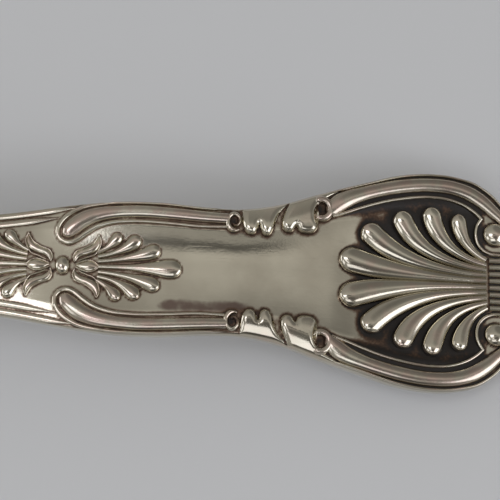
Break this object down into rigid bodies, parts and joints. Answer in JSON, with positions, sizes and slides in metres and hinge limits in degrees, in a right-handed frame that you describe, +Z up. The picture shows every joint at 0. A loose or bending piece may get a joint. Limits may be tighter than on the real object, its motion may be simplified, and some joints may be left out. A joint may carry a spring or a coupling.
{
  "type": "basting spoon",
  "caption": "Large plated serving spoon with an egg-shaped bowl, reeded stem and a struck shell-and-scroll handle end, lying bowl-up.",
  "frame": {"origin": "middle of the spoon's length, on the surface it lies on", "axes": "+X towards the handle tip, +Z up out of the bowl's mouth"},
  "size_m": [0.3054, 0.0622, 0.0216],
  "materials": {
    "silver_plate": "worn silver plate, polished high spots, brown tarnish in the recesses"
  },
  "bodies": {
    "root": {"bowl": "silver_plate", "heel_drop": "silver_plate", "stem": "silver_plate", "handle_plate": "silver_plate", "front_boss": "silver_plate", "front_crest": "silver_plate", "front_palmette_tip": "silver_plate", "front_palmette_stem": "silver_plate", "front_calyx_leaf_tip_far": "silver_plate", "front_calyx_leaf_tip_near": "silver_plate", "front_calyx_leaf_stem_far": "silver_plate", "front_calyx_leaf_stem_near": "silver_plate", "front_long_band_far": "silver_plate", "front_long_band_near": "silver_plate", "front_leaf_spray_far": "silver_plate", "front_leaf_spray_near": "silver_plate", "front_big_scroll_far": "silver_plate", "front_big_scroll_near": "silver_plate", "front_volute_ball_far": "silver_plate", "front_volute_ball_near": "silver_plate", "front_shell_lobe_far_1": "silver_plate", "front_shell_lobe_far_2": "silver_plate", "front_shell_lobe_far_3": "silver_plate", "front_shell_lobe_far_4": "silver_plate", "front_shell_lobe_far_5": "silver_plate", "front_shell_lobe_near_1": "silver_plate", "front_shell_lobe_near_2": "silver_plate", "front_shell_lobe_near_3": "silver_plate", "front_shell_lobe_near_4": "silver_plate", "front_shell_lobe_near_5": "silver_plate", "back_boss": "silver_plate", "back_crest": "silver_plate", "back_palmette_tip": "silver_plate", "back_palmette_stem": "silver_plate", "back_calyx_leaf_tip_far": "silver_plate", "back_calyx_leaf_tip_near": "silver_plate", "back_calyx_leaf_stem_far": "silver_plate", "back_calyx_leaf_stem_near": "silver_plate", "back_long_band_far": "silver_plate", "back_long_band_near": "silver_plate", "back_leaf_spray_far": "silver_plate", "back_leaf_spray_near": "silver_plate", "back_big_scroll_far": "silver_plate", "back_big_scroll_near": "silver_plate", "back_volute_ball_far": "silver_plate", "back_volute_ball_near": "silver_plate", "back_shell_lobe_far_1": "silver_plate", "back_shell_lobe_far_2": "silver_plate", "back_shell_lobe_far_3": "silver_plate", "back_shell_lobe_far_4": "silver_plate", "back_shell_lobe_far_5": "silver_plate", "back_shell_lobe_near_1": "silver_plate", "back_shell_lobe_near_2": "silver_plate", "back_shell_lobe_near_3": "silver_plate", "back_shell_lobe_near_4": "silver_plate", "back_shell_lobe_near_5": "silver_plate"}
  },
  "joints": []
}
